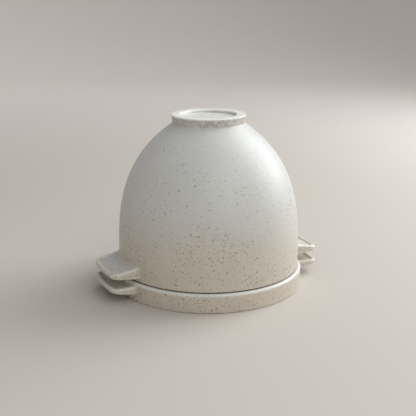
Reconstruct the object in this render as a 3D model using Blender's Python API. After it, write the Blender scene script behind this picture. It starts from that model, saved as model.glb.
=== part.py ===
"""A stoneware bread bowl standing upside down on its own baking dish.

The bowl is a deep round dome with a flared foot ring on top and two lug handles at its rim. The dish
below it is a shallow round plate with two handles that match the bowl's. The bowl rests on the dish
by its weight and lifts straight off, so every bowl piece hangs from the empty "bowl_lift".

Metres, +Z up. The origin is on the turning axis at table level, and the handles point along X.
"""

import math

import bmesh
import bpy
from mathutils import Vector

SEGMENTS = 64  # facets round the turning axis
GAP = 0.0003  # clearance that neighbouring pieces keep
SHARP_ANGLE = math.radians(35.0)  # faces that meet at more than this are shaded with an edge

# Dish
DISH_RADIUS = 0.1220
DISH_HEIGHT = 0.0240  # table to the land that the bowl's rim stands on
DISH_EDGE = 0.0028  # rounding of the top outer edge
DISH_HEEL = 0.0010  # rounding of the bottom outer edge
LAND_INNER_RADIUS = 0.1090  # inside the land a low collar keeps the bowl central
COLLAR_TOP = 0.0275
COLLAR_EDGE = 0.0012
COLLAR_INNER_RADIUS = 0.1040
DISH_FLOOR = 0.0120  # top of the dish's floor
DISH_COVE = 0.0060  # curve between the floor and its wall
UNDERSIDE_RADIUS = 0.1040  # the underside is sunk inside this radius
UNDERSIDE_DEPTH = 0.0030

# Bowl: a short straight wall, then a dome whose radius follows a power law up to its crown
BOWL_RADIUS = 0.1179
BOWL_WALL = 0.0070
RIM_BOTTOM = DISH_HEIGHT + GAP
RIM_ROUND = 0.0014
DOME_START = 0.0364
DOME_RISE = 0.1952
DOME_POWER = 3.0
DOME_ROUNDNESS = 0.736
BASE_TOP = 0.2187  # the flat base inside the foot ring
BASE_THICKNESS = 0.0090
WALL_STEPS = 13
CROWN_SHARE = 0.62  # where the ceiling inside stops falling, as a share of the last wall radius
CROWN_DROP = 0.0009  # and how far below the ceiling it is there
CROWN_CLEARANCE = 0.0030  # the inner wall ends this far below the ceiling

# Foot ring
FOOT_TOP = 0.2227
FOOT_RADIUS = 0.0480  # at the flared top edge
FOOT_NECK = 0.0459
FOOT_INNER_TOP = 0.0360
FOOT_INNER_BASE = 0.0344
FOOT_EDGE = 0.0008
FOOT_SEAT_GAP = 0.0004  # measured straight up, so about 0.3 mm square to the sloping dome
FOOT_FLARE_STEPS = 4

# Lug handles, the same in plan on bowl and dish
HANDLE_TIP = 0.1486  # from the axis to the middle of the tip
HANDLE_TIP_SAG = 0.0036  # how far the tip's bow falls back at its corners
HANDLE_HALF_ROOT = 0.0397
HANDLE_HALF_TIP = 0.0388
HANDLE_CORNER = 0.0100
HANDLE_START = 0.0900  # where the uncut block begins, well inside the wall
HANDLE_TAPER_START = 0.1180  # the heights below are given here and at the tip
RECESS_RIM = 0.0050  # width of the raised rim round the finger recess
RECESS_SLOPE = 0.0030  # plan width of the recess's sloping side
HANDLE_ROUND = 0.0022
CORNER_ANGLES = (-88.0, -66.0, -44.0, -22.0)  # points on the rounded corner of a handle, in degrees
BOW_SHARES = (-0.9, -0.45, 0.0)  # points on the bowed tip, from a corner to the middle
HANDLE_EDGE_ANGLE = math.radians(28.0)  # edges sharper than this are rounded
BOWL_HANDLE = {"top": (0.0430, 0.0374), "bottom": (0.0296, 0.0322), "recess": 0.0026}
DISH_HANDLE = {"top": (0.0203, 0.0193), "bottom": (0.0096, 0.0140), "recess": 0.0024}

# Glaze colours (linear RGB) and roughness
BOWL_GLAZE = ((0.66, 0.65, 0.61), 0.38)
FOOT_GLAZE = ((0.70, 0.69, 0.64), 0.45)
DISH_GLAZE = ((0.66, 0.64, 0.59), 0.40)


def clear_scene():
    for thing in list(bpy.data.objects):
        bpy.data.objects.remove(thing, do_unlink=True)


def glaze(name, colour, roughness):
    """A satin stoneware glaze."""
    material = bpy.data.materials.new(name)
    material.use_nodes = True
    shader = material.node_tree.nodes["Principled BSDF"]
    shader.inputs["Base Color"].default_value = (*colour, 1.0)
    shader.inputs["Roughness"].default_value = roughness
    shader.inputs["Metallic"].default_value = 0.0
    material.diffuse_color = (*colour, 1.0)
    return material


def add_object(name, mesh, material=None, parent=None):
    thing = bpy.data.objects.new(name, mesh)
    bpy.context.scene.collection.objects.link(thing)
    thing.parent = parent
    if material:
        mesh.materials.append(material)
    return thing


def arc(centre, radius, start, end, steps):
    """Points (r, z) along an arc, with its angles in degrees."""
    turns = [math.radians(start + (end - start) * i / steps) for i in range(steps + 1)]
    return [(centre[0] + radius * math.cos(t), centre[1] + radius * math.sin(t)) for t in turns]


def turned(name, profile, material=None, parent=None, closed=False):
    """Spins a profile of (r, z) points round Z. An open profile begins and ends on the axis."""
    bm = bmesh.new()
    verts = [bm.verts.new((r, 0.0, z)) for r, z in profile]
    edges = [bm.edges.new(pair) for pair in zip(verts, verts[1:])]
    if closed:
        edges.append(bm.edges.new((verts[-1], verts[0])))
    bmesh.ops.spin(
        bm,
        geom=verts + edges,
        cent=(0.0, 0.0, 0.0),
        axis=(0.0, 0.0, 1.0),
        angle=math.tau,
        steps=SEGMENTS,
        use_merge=True,
    )
    bmesh.ops.remove_doubles(bm, verts=bm.verts[:], dist=1e-6)
    bmesh.ops.recalc_face_normals(bm, faces=bm.faces[:])
    mesh = bpy.data.meshes.new(name)
    bm.to_mesh(mesh)
    bm.free()
    mesh.shade_smooth()
    mesh.set_sharp_from_angle(angle=SHARP_ANGLE)
    return add_object(name, mesh, material, parent)


def dome_radius(z):
    rise = max(z - DOME_START, 0.0) / DOME_RISE
    return BOWL_RADIUS * (1.0 - rise**DOME_POWER) ** DOME_ROUNDNESS


def dome_height(radius):
    """The height at which the dome has this radius."""
    fall = (radius / BOWL_RADIUS) ** (1.0 / DOME_ROUNDNESS)
    return DOME_START + DOME_RISE * (1.0 - fall) ** (1.0 / DOME_POWER)


def dome_curve(start, end, steps):
    """Outer dome points from one height to another, closer together where the dome turns inward."""
    shares = [math.sin(math.pi / 2 * i / steps) for i in range(steps + 1)]
    heights = [start + (end - start) * share for share in shares]
    return [(dome_radius(z), z) for z in heights]


def inset_curve(points, thickness):
    """Moves an upward curve of (r, z) points inward, square to itself."""
    moved = []
    for i, (r, z) in enumerate(points):
        before = points[max(i - 1, 0)]
        after = points[min(i + 1, len(points) - 1)]
        along = Vector((after[0] - before[0], after[1] - before[1])).normalized()
        moved.append((r - along.y * thickness, z + along.x * thickness))
    return moved


def bowl_profile():
    outer = dome_curve(RIM_BOTTOM + RIM_ROUND, BASE_TOP, WALL_STEPS)
    ceiling = BASE_TOP - BASE_THICKNESS
    inner = [p for p in inset_curve(outer, BOWL_WALL) if p[1] < ceiling - CROWN_CLEARANCE]
    rim_z = RIM_BOTTOM + RIM_ROUND
    outer_rim = arc((BOWL_RADIUS - RIM_ROUND, rim_z), RIM_ROUND, 0, -90, 3)
    inner_rim = arc((BOWL_RADIUS - BOWL_WALL + RIM_ROUND, rim_z), RIM_ROUND, -90, -180, 3)
    base = [(0.0, BASE_TOP)]
    crown = [(inner[-1][0] * CROWN_SHARE, ceiling - CROWN_DROP), (0.0, ceiling)]
    return base + outer[:0:-1] + outer_rim + inner_rim + inner[1:] + crown


def foot_profile():
    """The ring stands on the dome with a sloping base and flares out towards its flat top."""
    height = FOOT_TOP - FOOT_EDGE
    neck_z = dome_height(FOOT_NECK) + FOOT_SEAT_GAP
    flare = []
    for i in range(FOOT_FLARE_STEPS + 1):
        share = i / FOOT_FLARE_STEPS
        bow = share**2
        flare.append((FOOT_NECK + (FOOT_RADIUS - FOOT_NECK) * bow, neck_z + (height - neck_z) * share))
    outer_edge = arc((FOOT_RADIUS - FOOT_EDGE, height), FOOT_EDGE, 90, 0, 2)
    inner_edge = arc((FOOT_INNER_TOP + FOOT_EDGE, height), FOOT_EDGE, 180, 90, 2)
    middle = (FOOT_NECK + FOOT_INNER_BASE) / 2
    seat = [(r, dome_height(r) + FOOT_SEAT_GAP) for r in (middle, FOOT_INNER_BASE)]
    return outer_edge + flare[-2::-1] + seat + inner_edge


def dish_profile():
    floor_join = COLLAR_INNER_RADIUS - DISH_COVE
    cove_z = DISH_FLOOR + DISH_COVE
    collar_z = COLLAR_TOP - COLLAR_EDGE
    land_edge = DISH_RADIUS - DISH_EDGE
    return (
        [(0.0, DISH_FLOOR)]
        + arc((floor_join, cove_z), DISH_COVE, -90, 0, 3)
        + arc((COLLAR_INNER_RADIUS + COLLAR_EDGE, collar_z), COLLAR_EDGE, 180, 90, 2)
        + arc((LAND_INNER_RADIUS - COLLAR_EDGE, collar_z), COLLAR_EDGE, 90, 0, 2)
        + [(LAND_INNER_RADIUS, DISH_HEIGHT)]
        + arc((land_edge, DISH_HEIGHT - DISH_EDGE), DISH_EDGE, 90, 0, 3)
        + arc((DISH_RADIUS - DISH_HEEL, DISH_HEEL), DISH_HEEL, 0, -90, 2)
        + [(UNDERSIDE_RADIUS, 0.0)]
        + [(UNDERSIDE_RADIUS - UNDERSIDE_DEPTH, UNDERSIDE_DEPTH), (0.0, UNDERSIDE_DEPTH)]
    )


def handle_outline(inset):
    """Plan points (x, y) of a handle that points along +X, anticlockwise, drawn in by an inset."""
    corner = HANDLE_CORNER - inset
    half = HANDLE_HALF_TIP - inset
    corner_x = HANDLE_TIP - HANDLE_TIP_SAG - HANDLE_CORNER
    corner_y = half - corner
    right = [
        (corner_x + corner * math.cos(t), -corner_y + corner * math.sin(t))
        for t in [math.radians(a) for a in CORNER_ANGLES]
    ]
    bow = []
    for share in BOW_SHARES:
        y = corner_y * share
        bow.append((HANDLE_TIP - inset - HANDLE_TIP_SAG * share**2, y))
    root = [(HANDLE_START + inset, -(HANDLE_HALF_ROOT - inset))]
    lower = root + right + bow
    return lower + [(x, -y) for x, y in reversed(lower) if y < 0.0]


def handle_height(ends, x):
    """Height at x on a straight taper between the root and the tip."""
    share = (x - HANDLE_TAPER_START) / (HANDLE_TIP - HANDLE_TAPER_START)
    return ends[0] + (ends[1] - ends[0]) * share


def handle(name, shape, side, body_radius, material, parent=None):
    """A lug with a shallow finger recess. side is +1 or -1 along X, and the wall is cut away."""
    loops = [
        (handle_outline(0.0), shape["bottom"], 0.0),
        (handle_outline(0.0), shape["top"], 0.0),
        (handle_outline(RECESS_RIM), shape["top"], 0.0),
        (handle_outline(RECESS_RIM + RECESS_SLOPE), shape["top"], shape["recess"]),
    ]
    bm = bmesh.new()
    rings = []
    for outline, ends, drop in loops:
        rings.append(
            [bm.verts.new((side * x, side * y, handle_height(ends, x) - drop)) for x, y in outline]
        )
    for low, high in zip(rings, rings[1:]):
        for i in range(len(low)):
            j = (i + 1) % len(low)
            bm.faces.new((low[i], low[j], high[j], high[i]))
    bm.faces.new(rings[-1])
    bm.faces.new(rings[0][::-1])
    bmesh.ops.recalc_face_normals(bm, faces=bm.faces[:])
    mesh = bpy.data.meshes.new(name)
    bm.to_mesh(mesh)
    bm.free()
    mesh.shade_smooth()
    mesh.set_sharp_from_angle(angle=SHARP_ANGLE)
    lug = add_object(name, mesh, material, parent)

    rounding = lug.modifiers.new("rounded_edges", "BEVEL")
    rounding.width = HANDLE_ROUND
    rounding.segments = 2
    rounding.limit_method = "ANGLE"
    rounding.angle_limit = HANDLE_EDGE_ANGLE

    cut = lug.modifiers.new("wall_cut", "BOOLEAN")
    cut.operation = "DIFFERENCE"
    cut.solver = "EXACT"
    cut.object = wall_cutter(name + "_cutter", body_radius + GAP)
    return lug


def wall_cutter(name, radius):
    """A plain drum with the same facets as the walls. It clears the space inside a wall."""
    drum = [(0.0, FOOT_TOP), (radius, FOOT_TOP), (radius, -GAP), (0.0, -GAP)]
    cutter = turned(name, drum)
    cutter.hide_render = True
    cutter.display_type = "WIRE"
    return cutter


def main():
    clear_scene()
    bowl_lift = add_object("bowl_lift", None)
    bowl_glaze = glaze("bowl_glaze", *BOWL_GLAZE)
    foot_glaze = glaze("foot_glaze", *FOOT_GLAZE)
    dish_glaze = glaze("dish_glaze", *DISH_GLAZE)

    turned("dish", dish_profile(), dish_glaze)
    turned("bowl_wall", bowl_profile(), bowl_glaze, bowl_lift)
    turned("bowl_foot_ring", foot_profile(), foot_glaze, bowl_lift, closed=True)
    for side, word in ((-1, "left"), (1, "right")):
        handle(f"dish_handle_{word}", DISH_HANDLE, side, DISH_RADIUS, dish_glaze)
        handle(f"bowl_handle_{word}", BOWL_HANDLE, side, BOWL_RADIUS, bowl_glaze, bowl_lift)


main()
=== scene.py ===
"""The looks of a stoneware bread bowl that stands upside down on its baking dish.

The bowl and the dish are each one fired body, so each becomes one continuous mesh here: a turned
surface whose lug handles grow out of it with fillets, under a speckled satin glaze.
Metres, +Z up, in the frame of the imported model. The lugs point along X.
"""

import math

import bmesh
import bpy
import numpy as np
from mathutils import Euler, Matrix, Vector


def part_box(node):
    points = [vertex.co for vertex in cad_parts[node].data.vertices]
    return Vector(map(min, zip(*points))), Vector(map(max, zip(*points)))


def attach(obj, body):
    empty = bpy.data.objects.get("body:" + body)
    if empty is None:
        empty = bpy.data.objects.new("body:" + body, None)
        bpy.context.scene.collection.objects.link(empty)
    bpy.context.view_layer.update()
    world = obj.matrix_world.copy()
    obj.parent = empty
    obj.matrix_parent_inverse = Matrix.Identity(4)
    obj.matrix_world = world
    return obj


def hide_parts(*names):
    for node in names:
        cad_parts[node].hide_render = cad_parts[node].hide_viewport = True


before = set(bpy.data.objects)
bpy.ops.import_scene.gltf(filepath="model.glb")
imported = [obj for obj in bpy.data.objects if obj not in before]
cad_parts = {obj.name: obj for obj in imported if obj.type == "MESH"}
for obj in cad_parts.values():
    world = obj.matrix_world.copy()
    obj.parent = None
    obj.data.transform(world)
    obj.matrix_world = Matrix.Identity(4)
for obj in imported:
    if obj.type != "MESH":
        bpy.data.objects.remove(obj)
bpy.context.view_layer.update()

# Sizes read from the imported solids
DISH_RADIUS, _, COLLAR_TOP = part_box("dish")[1]
BOWL_RADIUS, _, BASE_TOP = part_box("bowl_wall")[1]
RIM_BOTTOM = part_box("bowl_wall")[0].z
FOOT_RADIUS, _, FOOT_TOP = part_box("bowl_foot_ring")[1]
LUG_TIP, LUG_HALF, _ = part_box("bowl_handle_right")[1]

# The dome's outline: its radius falls by a power law of the height
DOME_START = 0.0364
DOME_RISE = 0.1952
DOME_POWER = 3.0
DOME_ROUNDNESS = 0.736
WALL_THICKNESS = 0.0070
RIM_ROUND = 0.0014

# The foot ring, which flares from its neck, and the well inside it
NECK_RADIUS = 0.0459
NECK_HEIGHT = 0.21155
NECK_FILLET = 0.0022
WELL_RADIUS = 0.0346
WELL_FILLET = 0.0018
CREST_INNER = 0.0361
CREST_ROUND_IN = 0.0011
CREST_ROUND_OUT = 0.0010

# The bowl's inside, as it stands: the wall ends where the rounded ceiling begins
CEILING = BASE_TOP - 0.0090
CEILING_ROUND = 0.0300
INSIDE_WALL_TOP = 0.2070

# The dish: recessed floor, low locating collar, land, rounded edge, heel and sunk underside
DISH_FLOOR = 0.0120
FLOOR_CORNER = 0.0060
FLOOR_RADIUS = 0.0960
COLLAR_INNER = 0.1040
COLLAR_OUTER = 0.1090
COLLAR_ROUND = 0.0013
DISH_LAND = 0.0240  # the bowl's rim stands on it
LAND_FILLET = 0.0008
DISH_EDGE = 0.0028
DISH_HEEL = 0.0010
SUNK = 0.0030
SUNK_RADIUS = 0.1010

# Mesh density
LUG_COLUMNS = 84  # columns across a lug's root
WALL_COLUMNS = 84  # columns between the two lugs, on each side
LUG_RINGS = 34  # from the wall to the lug's tip
FINE_STEP = 0.0010  # rows beside the lugs
COARSE_STEP = 0.0030  # rows elsewhere
HIDDEN_STEP = COARSE_STEP * 1.4  # rows inside the bowl and on the dish's floor and underside
ARC_TURN = math.radians(11.0)  # greatest turn between two points of a rounded corner
SETTLING_REACH = 0.0120  # the wall's points this near to a lug settle with it
SETTLING_BELOW = 0.0034
SETTLING_ABOVE = 0.0100
EVENING_ROUNDS = 30  # how often the lugs' mesh is evened
FULL_CURVE = 300.0  # curvature, per metre, that counts as 1 in the "curve" layer

# Lug shapes: heights at the wall and at the tip, depth of the finger recess, rounding of the edges
BOWL_LUG = {
    "top": (0.0430, 0.0374),
    "bottom": (0.0296, 0.0322),
    "recess": 0.0026,
    "round_over": 0.0030,
    "round_under": 0.0018,
    "fillet": 0.0055,
}
DISH_LUG = {
    "top": (0.0203, 0.0193),
    "bottom": (0.0096, 0.0140),
    "recess": 0.0024,
    "round_over": 0.0026,
    "round_under": 0.0018,
    "fillet": 0.0040,
}
LUG_ROOT = BOWL_RADIUS  # where the first of each pair of heights is meant
LUG_HALF_TIP = LUG_HALF - 0.0009
LUG_SAG = 0.0036  # how far the tip's bow falls back at its corners
LUG_CORNER = 0.0100
RECESS_RIM = 0.0036  # width of the rim round the finger recess
RECESS_SIDE_SLOPE = 0.0030  # width of the slope from the rim down to the recess's floor
RECESS_TIP_SLOPE = 0.0042
RECESS_CORNER = 0.8  # rounding of the recess's corners, as a share of the slope's width
RIM_FILLET = 0.0022  # where the lug's rims and side faces meet the wall


# ---------------------------------------------------------------- outlines of the turned surfaces

def dome_radius(z):
    """The dome's outer radius at a height."""
    rise = np.maximum(z - DOME_START, 0.0) / DOME_RISE
    return BOWL_RADIUS * (1.0 - rise**DOME_POWER) ** DOME_ROUNDNESS


def rounded_path(corners):
    """Points (r, z) through corners (r, z, radius), with each corner replaced by an arc of its radius."""
    path = []
    for i, (r, z, radius) in enumerate(corners):
        here = Vector((r, z))
        if radius == 0.0:
            path.append((r, z))
            continue
        back = (Vector(corners[i - 1][:2]) - here).normalized()
        ahead = (Vector(corners[i + 1][:2]) - here).normalized()
        half = back.angle(ahead) / 2
        middle = (back + ahead).normalized()
        centre = here + middle * (radius / math.sin(half))
        first = here + back * (radius / math.tan(half)) - centre
        last = here + ahead * (radius / math.tan(half)) - centre
        sweep = first.angle_signed(last)
        steps = max(2, math.ceil(abs(sweep) / ARC_TURN))
        for k in range(steps + 1):
            a = -sweep * k / steps
            across = first.x * math.cos(a) - first.y * math.sin(a)
            up = first.x * math.sin(a) + first.y * math.cos(a)
            path.append((centre.x + across, centre.y + up))
    return path


def even_steps(points, step):
    """The same path with its points about one step apart."""
    p = np.array(points)
    along = np.concatenate([[0.0], np.cumsum(np.hypot(*np.diff(p, axis=0).T))])
    marks = np.linspace(0.0, along[-1], max(2, round(along[-1] / step) + 1))
    return list(zip(np.interp(marks, along, p[:, 0]), np.interp(marks, along, p[:, 1])))


def span(start, end, step):
    return even_steps([start, end], step)


def dome_path(start, end, inset=0.0):
    """Dome points between two heights, moved inward by an inset."""
    heights = np.linspace(start, end, 400)
    radii = dome_radius(heights)
    slope = np.gradient(radii, heights)
    length = np.hypot(1.0, slope)
    return list(zip(radii - inset / length, heights + inset * slope / length))


def bowl_outline():
    """From the middle of the base, out over the foot ring, down the dome, round the rim and up inside."""
    flare = [
        (NECK_RADIUS + (FOOT_RADIUS - NECK_RADIUS) * s**2, NECK_HEIGHT + (FOOT_TOP - NECK_HEIGHT) * s, 0.0)
        for s in (0.86, 0.72, 0.58, 0.44)
    ]
    below_neck = dome_path(NECK_HEIGHT - 0.0030, NECK_HEIGHT - 0.0031)[0]
    foot = rounded_path(
        [(0.0300, BASE_TOP, 0.0), (WELL_RADIUS, BASE_TOP, WELL_FILLET)]
        + [(CREST_INNER, FOOT_TOP, CREST_ROUND_IN), (0.0420, FOOT_TOP, 0.0)]
        + [(FOOT_RADIUS, FOOT_TOP, CREST_ROUND_OUT)]
        + flare
        + [(NECK_RADIUS, NECK_HEIGHT, NECK_FILLET), (*below_neck, 0.0)]
    )
    lug_zone = RIM_BOTTOM + 0.0270
    dome = even_steps(dome_path(below_neck[1], lug_zone), COARSE_STEP)
    wall = even_steps(dome_path(lug_zone, RIM_BOTTOM + RIM_ROUND + 0.0004), FINE_STEP)
    inner = BOWL_RADIUS - WALL_THICKNESS
    rim = rounded_path(
        [(BOWL_RADIUS, RIM_BOTTOM + 0.0050, 0.0), (BOWL_RADIUS, RIM_BOTTOM, RIM_ROUND)]
        + [(inner, RIM_BOTTOM, RIM_ROUND), (inner, RIM_BOTTOM + 0.0050, 0.0)]
    )[1:-1]
    inside = dome_path(RIM_BOTTOM + 0.0060, INSIDE_WALL_TOP, WALL_THICKNESS)
    (r0, z0), (r1, z1) = inside[-2:]
    crown = r1 + (r1 - r0) / (z1 - z0) * (CEILING - z1)
    inside += rounded_path([(r1, z1, 0.0), (crown, CEILING, CEILING_ROUND), (0.0, CEILING, 0.0)])[1:]
    base = [(0.0, BASE_TOP)] + span((0.0015, BASE_TOP), (0.0300, BASE_TOP), COARSE_STEP)
    return base + foot[1:] + dome[1:] + wall[1:] + rim + even_steps(inside, HIDDEN_STEP)


def dish_outline():
    """From the middle of the floor, out over the collar and land, down the wall and back under."""
    wall_top, wall_bottom = 0.0190, 0.0024
    top = rounded_path(
        [(FLOOR_RADIUS, DISH_FLOOR, 0.0), (COLLAR_INNER, DISH_FLOOR, FLOOR_CORNER)]
        + [(COLLAR_INNER, COLLAR_TOP, COLLAR_ROUND), (COLLAR_OUTER, COLLAR_TOP, COLLAR_ROUND)]
        + [(COLLAR_OUTER, DISH_LAND, LAND_FILLET), (0.1140, DISH_LAND, 0.0)]
        + [(DISH_RADIUS, DISH_LAND, DISH_EDGE), (DISH_RADIUS, wall_top, 0.0)]
    )
    wall = span((DISH_RADIUS, wall_top), (DISH_RADIUS, wall_bottom), FINE_STEP)
    under = rounded_path(
        [(DISH_RADIUS, wall_bottom, 0.0), (DISH_RADIUS, 0.0, DISH_HEEL), (0.1125, 0.0, 0.0)]
        + [(COLLAR_INNER, 0.0, 0.0012), (SUNK_RADIUS, SUNK, 0.0020), (FLOOR_RADIUS, SUNK, 0.0)]
    )
    middle = [(0.0, DISH_FLOOR)] + span((0.0020, DISH_FLOOR), (FLOOR_RADIUS, DISH_FLOOR), HIDDEN_STEP)
    below = span((FLOOR_RADIUS, SUNK), (0.0020, SUNK), HIDDEN_STEP) + [(0.0, SUNK)]
    return middle + top[1:] + wall[1:] + under[1:] + below[1:]


# ---------------------------------------------------------------- distances to the finished surfaces

def rounded_max(a, b, radius):
    """Signed distance to where a and b are both negative, with its outer edge rounded."""
    u, v = np.maximum(a + radius, 0.0), np.maximum(b + radius, 0.0)
    return np.hypot(u, v) + np.minimum(np.maximum(a, b) + radius, 0.0) - radius


def filleted_min(a, b, radius):
    """Signed distance to where a or b is negative, with a fillet in the corner between them."""
    return -rounded_max(-a, -b, radius)


def smooth_step(t):
    """0 up to t = 0, 1 from t = 1, with an even rise between."""
    t = np.clip(t, 0.0, 1.0)
    return t * t * (3.0 - 2.0 * t)


def mix(pair, share):
    return pair[0] + (pair[1] - pair[0]) * share


def recess_share(points):
    """1 on the floor of a lug's finger recess, 0 on the rim round it."""
    x, y = np.abs(points[:, 0]), np.abs(points[:, 1])
    side, end = lug_edges(x, y)
    beyond_side = (side + RECESS_RIM) / RECESS_SIDE_SLOPE
    beyond_end = (end + RECESS_RIM) / RECESS_TIP_SLOPE
    return smooth_step(-rounded_max(beyond_side, beyond_end, RECESS_CORNER))


def lug_edges(x, y):
    """Distances beyond a lug's side and beyond its bowed tip."""
    share = (x - LUG_ROOT) / (LUG_TIP - LUG_ROOT)
    return y - mix((LUG_HALF, LUG_HALF_TIP), share), x - (LUG_TIP - LUG_SAG * (y / LUG_HALF_TIP) ** 2)


def lug_distance(points, lug):
    """Signed distance to the lugs at both ends of X: a tapered plate with a finger recess on top."""
    x, y, z = np.abs(points[:, 0]), np.abs(points[:, 1]), points[:, 2]
    share = (x - LUG_ROOT) / (LUG_TIP - LUG_ROOT)
    plan = rounded_max(*lug_edges(x, y), LUG_CORNER)
    top, bottom = mix(lug["top"], share), mix(lug["bottom"], share)
    over = np.minimum(lug["round_over"], 0.5 * (top - bottom))
    under = np.minimum(lug["round_under"], 0.4 * (top - bottom))
    upper = rounded_max(plan, z - top + lug["recess"] * recess_share(points), over)
    return np.maximum(upper, rounded_max(plan, bottom - z, under))


def body_distance(points, wall_distance, lug):
    """The wall and its lugs as one body: a small fillet round each lug, a broad one in its recess."""
    above = points[:, 2] > (lug["top"][0] + lug["bottom"][0]) / 2
    fillet = mix((RIM_FILLET, lug["fillet"]), recess_share(points) * above)
    return filleted_min(wall_distance(points), lug_distance(points, lug), fillet)


def bowl_wall_distance(points):
    """Signed distance to the dome, with its rim rounded."""
    r, z = np.hypot(points[:, 0], points[:, 1]), points[:, 2]
    return rounded_max(r - dome_radius(z), RIM_BOTTOM - z, RIM_ROUND)


def dish_wall_distance(points):
    """Signed distance to the dish's outside, with its upper edge rounded."""
    r, z = np.hypot(points[:, 0], points[:, 1]), points[:, 2]
    return rounded_max(r - DISH_RADIUS, z - DISH_LAND, DISH_EDGE)


def gradient(distance, points):
    step = 2e-5
    parts = []
    for axis in range(3):
        shift = np.zeros(3)
        shift[axis] = step
        parts.append((distance(points + shift) - distance(points - shift)) / (2 * step))
    return np.stack(parts, axis=1)


def settled(points, distance, rounds=8):
    """Moves the points onto the surface where the distance is zero."""
    points = points.copy()
    for _ in range(rounds):
        slope = gradient(distance, points)
        steep = np.maximum((slope**2).sum(axis=1), 0.2)
        move = distance(points)[:, None] * slope / steep[:, None]
        points -= np.clip(move, -0.004, 0.004)
    return points


# ---------------------------------------------------------------- meshes

def column_angles(radius):
    """Angles round the axis, closer together across the two lugs. The first lug starts at column 0."""
    half = math.asin(LUG_HALF / radius)
    across = np.linspace(-half, half, LUG_COLUMNS + 1)[:-1]
    between = np.linspace(half, math.pi - half, WALL_COLUMNS + 1)[:-1]
    side = np.concatenate([across, between])
    return np.concatenate([side, side + math.pi])


def turned_body(outline, radius, lug):
    """Points and faces of a turned surface with a lug grown out of each end."""
    angles = column_angles(radius)
    rows, columns = len(outline), len(angles)
    rz = np.array(outline)
    ring = np.stack([np.cos(angles), np.sin(angles)], axis=1)
    inner = rz[1:-1]
    grid = np.concatenate(
        [inner[:, None, :1] * ring[None], np.broadcast_to(inner[:, None, 1:], (rows - 2, columns, 1))],
        axis=2,
    )
    points = [tuple(p) for p in grid.reshape(-1, 3)]
    top_pole, bottom_pole = len(points), len(points) + 1
    points += [(0.0, 0.0, rz[0, 1]), (0.0, 0.0, rz[-1, 1])]
    place = {(i, j): i * columns + j for i in range(rows - 2) for j in range(columns)}

    outer = [i for i, (r, z) in enumerate(inner) if r > radius - 1e-4]
    first = min(outer, key=lambda i: abs(inner[i, 1] - lug["top"][0]))
    last = min(outer, key=lambda i: abs(inner[i, 1] - lug["bottom"][0]))
    starts = (0, LUG_COLUMNS + WALL_COLUMNS)
    faces = []
    for i in range(rows - 3):
        for j in range(columns):
            in_lug = any(s <= j < s + LUG_COLUMNS for s in starts) and first <= i < last
            if not in_lug:
                k = (j + 1) % columns
                faces.append((place[i, j], place[i + 1, j], place[i + 1, k], place[i, k]))
    for j in range(columns):
        k = (j + 1) % columns
        faces.append((top_pole, place[0, j], place[0, k]))
        faces.append((bottom_pole, place[rows - 3, k], place[rows - 3, j]))
    for start, sign in zip(starts, (1.0, -1.0)):
        add_lug(points, faces, place, start, first, last, lug, sign)
    return np.array(points), faces


def add_lug(points, faces, place, start, first, last, lug, sign):
    """A box of quads over the hole in the wall. It is the lug's rough form, before it settles."""
    height, width = last - first, LUG_COLUMNS
    known = {}

    def corner(i, j, k):
        if k == 0:
            return place[first + i, start + j]
        if (i, j, k) not in known:
            wall = np.array(points[place[first + i, start + j]])
            y = sign * LUG_HALF_TIP * (2.0 * j / width - 1.0)
            z = mix((lug["top"][1], lug["bottom"][1]), i / height)
            tip = np.array([sign * (LUG_TIP - LUG_SAG * (y / LUG_HALF_TIP) ** 2), y, z])
            known[i, j, k] = len(points)
            points.append(tuple(wall + (tip - wall) * (k / LUG_RINGS)))
        return known[i, j, k]

    def patch(count_a, count_b, where, flip):
        for a in range(count_a):
            for b in range(count_b):
                quad = [corner(*where(a, b)), corner(*where(a + 1, b))]
                quad += [corner(*where(a + 1, b + 1)), corner(*where(a, b + 1))]
                faces.append(tuple(quad[::-1] if flip else quad))

    patch(LUG_RINGS, width, lambda a, b: (0, b, a), False)
    patch(LUG_RINGS, width, lambda a, b: (height, b, a), True)
    patch(LUG_RINGS, height, lambda a, b: (b, 0, a), True)
    patch(LUG_RINGS, height, lambda a, b: (b, width, a), False)
    patch(height, width, lambda a, b: (a, b, LUG_RINGS), False)


def neighbour_pairs(faces):
    """The mesh's edges, each once."""
    pairs = set()
    for face in faces:
        for a, b in zip(face, face[1:] + face[:1]):
            pairs.add((min(a, b), max(a, b)))
    return np.array(sorted(pairs))


def neighbour_mean(points, pairs):
    """The mean of each point's neighbours along the mesh's edges."""
    here, there = np.concatenate([pairs, pairs[:, ::-1]]).T
    count = np.bincount(here, minlength=len(points))
    total = [np.bincount(here, points[there, k], len(points)) for k in range(points.shape[1])]
    return np.stack(total, axis=1) / np.maximum(count, 1)[:, None]


def grow_lugs(points, faces, outline_count, wall_distance, lug):
    """Settles the rough lugs and the wall beside them on the filleted surface, and evens their mesh."""
    def distance(p):
        return body_distance(p, wall_distance, lug)

    z = points[:, 2]
    near = (np.abs(wall_distance(points)) < 1e-5) & (np.abs(lug_distance(points, lug)) < SETTLING_REACH)
    loose = near & (z > lug["bottom"][0] - SETTLING_BELOW) & (z < lug["top"][0] + SETTLING_ABOVE)
    loose[outline_count:] = True
    points[loose] = settled(points[loose], distance)
    pairs = neighbour_pairs(faces)
    for _ in range(EVENING_ROUNDS):
        drift = neighbour_mean(points, pairs)[loose] - points[loose]
        slope = gradient(distance, points[loose])
        normal = slope / np.linalg.norm(slope, axis=1)[:, None]
        drift -= (drift * normal).sum(axis=1)[:, None] * normal
        points[loose] = settled(points[loose] + 0.5 * drift, distance, 2)
    return points, pairs


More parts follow.
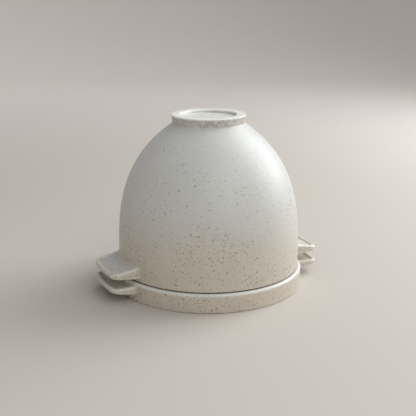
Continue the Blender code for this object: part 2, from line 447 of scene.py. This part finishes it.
def body_mesh(name, outline, radius, lug, wall_distance, tones):
    """One fired body: a turned surface with its two lugs, and its glaze's tones at every point."""
    points, faces = turned_body(outline, radius, lug)
    outline_count = (len(outline) - 2) * 2 * (LUG_COLUMNS + WALL_COLUMNS) + 2
    points, pairs = grow_lugs(points, faces, outline_count, wall_distance, lug)
    mesh = bpy.data.meshes.new(name)
    mesh.from_pydata([tuple(p) for p in points], [], faces)
    bm = bmesh.new()
    bm.from_mesh(mesh)
    bmesh.ops.recalc_face_normals(bm, faces=bm.faces[:])
    bm.to_mesh(mesh)
    bm.free()
    mesh.shade_smooth()
    add_layer(mesh, "curve", convexity(mesh, points, pairs))
    for title, values in tones(points).items():
        add_layer(mesh, title, values)
    thing = bpy.data.objects.new(name, mesh)
    bpy.context.scene.collection.objects.link(thing)
    return thing


def add_layer(mesh, title, values):
    """Keeps a value at every point for the glaze to read."""
    layer = mesh.attributes.new(title, "FLOAT", "POINT")
    layer.data.foreach_set("value", values.astype(np.float32))


def convexity(mesh, points, pairs):
    """How convex the surface is at each point, from -1 in a tight hollow to 1 on a tight edge."""
    normals = np.zeros(len(points) * 3)
    mesh.vertex_normals.foreach_get("vector", normals)
    normals = normals.reshape(-1, 3)
    bulge = ((points - neighbour_mean(points, pairs)) * normals).sum(axis=1, keepdims=True)
    step = points[pairs[:, 0]] - points[pairs[:, 1]]
    square = np.bincount(pairs.ravel(), (step**2).sum(axis=1).repeat(2), len(points))
    count = np.bincount(pairs.ravel(), minlength=len(points))
    curve = 4.0 * bulge * (count / np.maximum(square, 1e-12))[:, None]
    for _ in range(3):
        curve = neighbour_mean(curve, pairs)
    return np.clip(curve[:, 0] / FULL_CURVE, -1.0, 1.0)


# Each body's glaze varies by place, from 0 to about 1: "warmth" from a cool tone to a warm one, which
# paints the light bounced from the table low down and cool shade in the lug recesses, "pale" for a paler
# tint that paints the light on the foot ring's top and in its well and the highlight on the dish's brim,
# "speckle" for the density of the iron specks, a stain layer for the brown bloom on the foot ring and the
# painted shade on the well's inner wall, and a last layer for unglazed clay, widened on the bowl's rim to
# paint the shade in the seam.

WARM_BELOW = 0.030  # the bowl is warmest below this height, with painted light bounced from the table
COOL_ABOVE = 0.160
FEW_SPECKS_ABOVE = 0.195


def bowl_tones(points):
    """Warmer and more speckled towards the rim, the warmth painting the light bounced from the table. Paler
    on the foot ring's crest, painting the light from above, and stained on its side, with painted shade on
    the well's inner wall.
    """
    r, z = np.hypot(points[:, 0], points[:, 1]), points[:, 2]
    # Warm low down: painted light bounced from the table.
    low = 1.0 - smooth_step((z - WARM_BELOW) / (COOL_ABOVE - WARM_BELOW))
    lower = 1.0 - smooth_step((z - WARM_BELOW) / (FEW_SPECKS_ABOVE - WARM_BELOW))
    recess = recess_share(points) * smooth_step((r - BOWL_RADIUS) / 0.0040)
    crest = smooth_step((z - FOOT_TOP + 0.0022) / 0.0014)
    well = (z > BASE_TOP - 0.0005) * (1.0 - smooth_step((r - WELL_RADIUS + 0.0006) / 0.0010))
    ring = smooth_step((z - NECK_HEIGHT + 0.00035) / 0.0015) * smooth_step((r - 0.0440) / 0.0010)
    # The well's inner wall is stained too: painted shade.
    well_wall_shade = (z > BASE_TOP + 0.0004) * (r < CREST_INNER + 0.0009)
    stain_and_well_shade = np.maximum(ring, well_wall_shade) * (1.0 - crest)
    return {
        # Cooler in the lug recesses, which paints their shade; warmer on the stain.
        "warmth": np.clip(0.95 * low - 0.65 * recess + 0.35 * stain_and_well_shade, 0.0, 1.0),
        # Paler on the foot ring's crest and, less, on the well's floor: painted light from above.
        "pale": np.maximum(crest, 0.6 * well),
        "speckle": np.clip(0.22 + 0.78 * lower - 0.4 * recess + 1.2 * stain_and_well_shade + 0.4 * well, 0.0, 1.6),
        "stain_and_well_shade": stain_and_well_shade,
        # Unglazed clay under the rim, reaching up it to paint the shade in the seam.
        "bare_and_seam_shade": 1.0 - smooth_step((z - RIM_BOTTOM - 0.0011) / 0.0004),
    }


def dish_tones(points):
    """Warm, most on its outer wall, painting the light bounced from the table, with a paler brim that
    paints a highlight. It is unglazed where it stands and where the bowl's rim stands on it.
    """
    r, z = np.hypot(points[:, 0], points[:, 1]), points[:, 2]
    land = smooth_step((BOWL_RADIUS + 0.0002 - r) / 0.0006) * (r > 0.1100) * (z > DISH_LAND - 0.0005)
    heel = 1.0 - smooth_step((z - 0.0002) / 0.0004)
    # The brim, the dish's rounded upper edge: paler, cooler and less speckled, a painted highlight.
    brim = smooth_step((z - DISH_LAND + 0.0044) / 0.0034) * smooth_step((r - DISH_RADIUS + 0.0040) / 0.0010)
    # The outer wall is warmer: painted light bounced from the table.
    outside = smooth_step((r - 0.1160) / 0.0050)
    return {
        "warmth": 0.45 + 0.55 * outside - 0.7 * brim,
        "pale": 0.5 * brim,
        "speckle": 1.25 - 0.8 * brim,
        "stain_and_well_shade": np.zeros(len(points)),
        "bare_and_seam_shade": np.maximum(land, heel),
    }


# ---------------------------------------------------------------- glaze

GLAZE = {
    # Cool and warm tones: the warm one paints the light bounced from the table onto the lower parts.
    "cool": (0.602, 0.612, 0.606, 1.0),
    "warm": (0.605, 0.550, 0.470, 1.0),
    # A paler tint that paints light on top faces and a highlight on the dish's brim.
    "pale": (0.830, 0.825, 0.770, 1.0),
    "dim": (0.520, 0.500, 0.455, 1.0),
    # Paler on convex edges: partly thinner glaze, partly a painted highlight on rounded crests.
    "edge": (0.720, 0.695, 0.620, 1.0),
    # Grey for concave hollows: painted shade.
    "hollow_shade": (0.480, 0.480, 0.440, 1.0),
    # Brown: a real stain on the foot ring's side, painted shade on the well's inner wall.
    "stain_and_well_shade": (0.330, 0.290, 0.200, 1.0),
    "haze": (0.330, 0.265, 0.190, 1.0),
    "haze_cool": (0.330, 0.335, 0.325, 1.0),
    "speck": (0.150, 0.083, 0.045, 1.0),
    "speck_cool": (0.195, 0.190, 0.175, 1.0),
    "dark": (0.080, 0.044, 0.026, 1.0),
    "dark_cool": (0.125, 0.122, 0.112, 1.0),
    # Unglazed clay, darkened to also paint the shade in the seam under the bowl's rim.
    "clay": (0.200, 0.145, 0.100, 1.0),
    "clay_dark": (0.120, 0.085, 0.058, 1.0),
    "rough": (0.36, 0.48),
    "seed": 0.0,
}
DISH_GLAZE = GLAZE | {"warm": (0.605, 0.542, 0.462, 1.0), "seed": 5.0}

# Specks by size: spacing of the cells, least and greatest radius, share of cells, softness of the edge
FINE_SPECKS = (0.0020, (0.00030, 0.00060), 1.10, 0.50)
MIDDLE_SPECKS = (0.0030, (0.00055, 0.00095), 1.10, 0.35)
LARGE_SPECKS = (0.0055, (0.00070, 0.00112), 0.80, 0.30)
HAZE_SPECKS = (0.0060, (0.00140, 0.00300), 0.60, 0.95)


class Graph:
    """A material's shader nodes. Every input takes either a value or another node's output."""

    def __init__(self, name):
        self.material = bpy.data.materials.new(name)
        self.material.use_nodes = True
        self.nodes = self.material.node_tree.nodes
        self.links = self.material.node_tree.links
        self.shader = self.nodes["Principled BSDF"]
        self.where = self.nodes.new("ShaderNodeTexCoord").outputs["Object"]

    def plug(self, socket, value):
        if hasattr(value, "links"):
            self.links.new(value, socket)
        else:
            socket.default_value = value

    def node(self, kind, **inputs):
        made = self.nodes.new(kind)
        for key, value in inputs.items():
            self.plug(made.inputs[key], value)
        return made

    def maths(self, operation, a, b=0.0, c=0.0):
        made = self.nodes.new("ShaderNodeMath")
        made.operation = operation
        for socket, value in zip(made.inputs, (a, b, c)):
            self.plug(socket, value)
        return made.outputs[0]

    def vector(self, operation, a, b=None):
        made = self.nodes.new("ShaderNodeVectorMath")
        made.operation = operation
        self.plug(made.inputs[0], a)
        if b is not None:
            self.plug(made.inputs["Scale" if operation == "SCALE" else 1], b)
        return made

    def ramp(self, value, low, high, to_low=0.0, to_high=1.0):
        """A smooth step of a value from one range to another."""
        made = self.nodes.new("ShaderNodeMapRange")
        made.interpolation_type = "SMOOTHSTEP"
        ends = (("From Min", low), ("From Max", high), ("To Min", to_low), ("To Max", to_high))
        for key, number in (("Value", value), *ends):
            self.plug(made.inputs[key], number)
        return made.outputs["Result"]

    def blend(self, share, a, b):
        """Colour a, or colour b where the share is 1."""
        made = self.nodes.new("ShaderNodeMix")
        made.data_type = "RGBA"
        for index, value in ((0, share), (6, a), (7, b)):
            self.plug(made.inputs[index], value)
        return made.outputs[2]

    def attribute(self, title):
        made = self.nodes.new("ShaderNodeAttribute")
        made.attribute_name = title
        return made.outputs["Fac"]

    def noise(self, scale, detail, roughness=0.5, seed=0.0):
        made = self.nodes.new("ShaderNodeTexNoise")
        made.noise_dimensions = "4D"
        ends = (("Vector", self.where), ("Scale", scale), ("Detail", detail))
        for key, value in (*ends, ("Roughness", roughness), ("W", seed)):
            self.plug(made.inputs[key], value)
        return made.outputs["Fac"]


def speck_density(graph, seed):
    """Specks lie in broad patches, and in small clusters within them."""
    patches = graph.ramp(graph.noise(15.0, 2.0, 0.5, seed), 0.42, 0.60, 0.25, 1.15)
    clusters = graph.ramp(graph.noise(75.0, 1.0, 0.5, seed), 0.36, 0.64, 0.35, 1.5)
    return graph.maths("MULTIPLY", graph.attribute("speckle"), graph.maths("MULTIPLY", patches, clusters))


def specks(graph, density, size):
    """Ragged dots: one point in each cell of a grid, kept for a share of the cells."""
    cell, (least, greatest), share, soft = size
    ragged = graph.node("ShaderNodeTexNoise", Vector=graph.where, Scale=0.8 / greatest, Detail=1.0)
    shake = graph.vector("SCALE", ragged.outputs["Color"], greatest * 0.9).outputs[0]
    moved = graph.vector("ADD", graph.where, shake).outputs[0]
    cells = graph.node("ShaderNodeTexVoronoi", Vector=moved, Scale=1.0 / cell, Randomness=1.0)
    parts = graph.node("ShaderNodeSeparateColor", Color=cells.outputs["Color"])
    kept = graph.maths("LESS_THAN", parts.outputs[0], graph.maths("MULTIPLY", density, share))
    radius = graph.maths("MULTIPLY_ADD", parts.outputs[1], (greatest - least) / cell, least / cell)
    core = graph.maths("MULTIPLY", radius, 1.0 - soft)
    dot = graph.ramp(cells.outputs["Distance"], core, radius, 1.0, 0.0)
    strength = graph.maths("MULTIPLY_ADD", parts.outputs[2], 0.45, 0.55)
    return graph.maths("MULTIPLY", graph.maths("MULTIPLY", dot, kept), strength)


def glaze_body(graph, tint, warmth, mottle):
    """The glaze without its specks: warm or cool, mottled, paler on edges, partly thinner glaze and partly
    a painted highlight, and dimmer in hollows as painted shade.
    """
    curve = graph.attribute("curve")
    bloom = graph.ramp(graph.noise(150.0, 3.0, 0.65), 0.42, 0.64, 0.0, 0.70)
    # Cool to warm: the warm end paints the light bounced from the table.
    body = graph.blend(graph.ramp(warmth, 0.0, 1.0), tint["cool"], tint["warm"])
    body = graph.blend(graph.ramp(mottle, 0.30, 0.70, 0.0, 0.30), body, tint["dim"])
    # Brown stain on the foot ring's side, and painted shade on the well's inner wall.
    body = graph.blend(graph.maths("MULTIPLY", graph.attribute("stain_and_well_shade"), bloom), body, tint["stain_and_well_shade"])
    # Paler on convex edges: partly thinner glaze, partly a painted highlight.
    body = graph.blend(graph.ramp(curve, 0.10, 0.75, 0.0, 0.70), body, tint["edge"])
    # Darker in concave hollows: painted shade.
    body = graph.blend(graph.ramp(curve, -0.10, -0.80, 0.0, 0.30), body, tint["hollow_shade"])
    # Paler where painted light falls on top faces and on the dish's brim.
    return graph.blend(graph.attribute("pale"), body, tint["pale"])


def make_glaze(name, tint):
    """Satin glaze over speckled clay. Specks are brown where the tone is warm, grey and faint where it is
    cool.
    """
    graph = Graph(name)
    density = speck_density(graph, tint["seed"])
    sizes = (FINE_SPECKS, MIDDLE_SPECKS, LARGE_SPECKS, HAZE_SPECKS)
    fine, middle, large, haze = (specks(graph, density, size) for size in sizes)

    mottle = graph.noise(230.0, 3.0, 0.6)
    cloud = graph.maths("MULTIPLY_ADD", graph.noise(16.0, 3.0), 0.7, -0.35)
    warmth = graph.maths("ADD", graph.attribute("warmth"), cloud)
    # Share of the warm tone, which paints the light bounced from the table; the specks turn brown with it.
    warm_share = graph.ramp(warmth, 0.05, 0.70)
    body = glaze_body(graph, tint, warmth, mottle)
    for spots, strength, kind in ((haze, 0.22, "haze"), (fine, 0.65, "speck"), (middle, 0.90, "speck"),
                                  (large, 0.95, "dark")):
        colour = graph.blend(warm_share, tint[kind + "_cool"], tint[kind])
        body = graph.blend(graph.maths("MULTIPLY", spots, strength), body, colour)
    # Unglazed clay; on the bowl's rim it also paints the seam's shade.
    bare_and_seam_shade = graph.attribute("bare_and_seam_shade")
    clay = graph.blend(graph.ramp(mottle, 0.3, 0.7), tint["clay"], tint["clay_dark"])
    graph.plug(graph.shader.inputs["Base Color"], graph.blend(bare_and_seam_shade, body, clay))

    raised = graph.maths("MAXIMUM", middle, large)
    satin = graph.ramp(graph.noise(60.0, 4.0, 0.6), 0.3, 0.7, *tint["rough"])
    rough = graph.maths("MULTIPLY_ADD", raised, 0.22, satin)
    graph.plug(graph.shader.inputs["Roughness"], graph.maths("MULTIPLY_ADD", bare_and_seam_shade, 0.4, rough))
    graph.plug(graph.shader.inputs["IOR"], 1.5)

    skin = graph.maths("MULTIPLY_ADD", graph.noise(900.0, 2.0), 0.25, graph.noise(140.0, 3.0))
    relief = graph.maths("MULTIPLY_ADD", raised, 0.5, skin)
    bump = graph.node("ShaderNodeBump", Height=relief, Strength=0.35, Distance=0.00012)
    graph.plug(graph.shader.inputs["Normal"], bump.outputs["Normal"])
    return graph.material


# ---------------------------------------------------------------- stage, lights and camera

STAGE_RADIUS = 3.0
STAGE_BEND = 0.8  # radius of the bend between floor and wall
STAGE_HEIGHT = 1.1
STAGE_SIDES = 96
BEND_STEPS = 12


def paper_material():
    """Matt paper, paler towards the wall, where less light arrives."""
    graph = Graph("stage_paper")
    away = graph.vector("LENGTH", graph.where).outputs["Value"]
    near, far = (0.54, 0.503, 0.458, 1.0), (0.86, 0.82, 0.77, 1.0)
    graph.plug(graph.shader.inputs["Base Color"], graph.blend(graph.ramp(away, 0.5, 2.2), near, far))
    graph.plug(graph.shader.inputs["Roughness"], 0.8)
    return graph.material


def add_stage():
    """A pale round floor that curves up into a low wall, so that every view has a plain ground."""
    flat = STAGE_RADIUS - STAGE_BEND
    profile = [(0.02, 0.0), (0.6, 0.0), (flat, 0.0)]
    for k in range(1, BEND_STEPS + 1):
        a = math.pi / 2 * k / BEND_STEPS
        profile.append((flat + STAGE_BEND * math.sin(a), STAGE_BEND - STAGE_BEND * math.cos(a)))
    profile.append((STAGE_RADIUS, STAGE_HEIGHT))
    turns = [math.tau * k / STAGE_SIDES for k in range(STAGE_SIDES)]
    verts = [(r * math.cos(t), r * math.sin(t), z) for r, z in profile for t in turns]
    faces = [tuple(range(STAGE_SIDES))]
    for i in range(len(profile) - 1):
        here, beyond = i * STAGE_SIDES, (i + 1) * STAGE_SIDES
        for k in range(STAGE_SIDES):
            j = (k + 1) % STAGE_SIDES
            faces.append((here + k, beyond + k, beyond + j, here + j))
    mesh = bpy.data.meshes.new("stage_floor")
    mesh.from_pydata(verts, [], faces)
    mesh.shade_smooth()
    mesh.materials.append(paper_material())
    floor = bpy.data.objects.new("stage_floor", mesh)
    bpy.context.scene.collection.objects.link(floor)


def add_light(name, kind, azimuth, elevation, distance, power, colour):
    """A light that looks at the bowl. Azimuth is counted from the camera's side, to the right."""
    a, e = math.radians(azimuth) - CAMERA_TURN, math.radians(elevation)
    way = Vector((math.sin(a) * math.cos(e), -math.cos(a) * math.cos(e), math.sin(e)))
    data = bpy.data.lights.new(name, kind)
    data.energy = power
    data.color = colour
    lamp = bpy.data.objects.new(name, data)
    lamp.location = Vector((0.0, 0.0, 0.11)) + way * distance
    lamp.rotation_euler = way.to_track_quat("Z", "Y").to_euler()
    bpy.context.scene.collection.objects.link(lamp)
    return data


def add_softbox(name, azimuth, elevation, size, watts, colour):
    data = add_light(name, "AREA", azimuth, elevation, 1.6, watts, colour)
    data.shape = "RECTANGLE"
    data.size, data.size_y = size


def add_sky(name, azimuth, elevation, strength, colour):
    """Wide soft light from far away, which reaches the whole floor evenly."""
    data = add_light(name, "SUN", azimuth, elevation, 2.0, strength, colour)
    data.angle = math.radians(50.0)


def add_world(colour, strength):
    world = bpy.data.worlds.new("room")
    world.use_nodes = True
    back = world.node_tree.nodes["Background"]
    back.inputs["Color"].default_value = (*colour, 1.0)
    back.inputs["Strength"].default_value = strength
    bpy.context.scene.world = world


CAMERA_TURN = math.radians(24.5)  # the camera stands this far to the left of straight in front
CAMERA_AIM = math.radians(0.035)  # and looks this far to the left of the turning axis
CAMERA_DISTANCE = 1.0420  # along the table from the turning axis
CAMERA_HEIGHT = 0.3846
CAMERA_PITCH = math.radians(15.36)
CAMERA_LENS = 71.33


def add_camera():
    data = bpy.data.cameras.new("camera")
    data.lens = CAMERA_LENS
    data.sensor_width = 36.0
    data.clip_start, data.clip_end = 0.05, 20.0
    camera = bpy.data.objects.new("camera", data)
    camera.location = (
        -CAMERA_DISTANCE * math.sin(CAMERA_TURN),
        -CAMERA_DISTANCE * math.cos(CAMERA_TURN),
        CAMERA_HEIGHT,
    )
    camera.rotation_euler = Euler((math.pi / 2 - CAMERA_PITCH, 0.0, CAMERA_AIM - CAMERA_TURN))
    bpy.context.scene.collection.objects.link(camera)
    bpy.context.scene.camera = camera


# ---------------------------------------------------------------- assembly

def main():
    add_camera()
    add_stage()
    add_world((0.97, 0.98, 1.0), 0.24)
    add_sky("window_sky", 125, 60, 0.86, (1.0, 0.99, 0.95))
    add_softbox("window", 120, 31, (1.2, 1.3), 18.4, (0.97, 1.0, 1.02))
    add_softbox("window_low", 108, 21, (1.2, 0.7), 4.4, (0.97, 1.0, 1.02))
    add_softbox("room_right", 26, 36, (1.2, 1.2), 8.0, (0.99, 1.0, 0.98))
    add_softbox("room_left", -80, 55, (1.2, 1.2), 1.2, (1.05, 1.0, 0.94))

    bowl = body_mesh("bread_bowl", bowl_outline(), BOWL_RADIUS, BOWL_LUG, bowl_wall_distance, bowl_tones)
    bowl.data.materials.append(make_glaze("bowl_glaze_speckled", GLAZE))
    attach(bowl, "bowl")
    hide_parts("bowl_wall", "bowl_foot_ring", "bowl_handle_left", "bowl_handle_right")

    dish = body_mesh("baking_dish", dish_outline(), DISH_RADIUS, DISH_LUG, dish_wall_distance, dish_tones)
    dish.data.materials.append(make_glaze("dish_glaze_speckled", DISH_GLAZE))
    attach(dish, "dish")
    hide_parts("dish", "dish_handle_left", "dish_handle_right")

    bpy.context.scene.view_settings.view_transform = "Standard"


main()
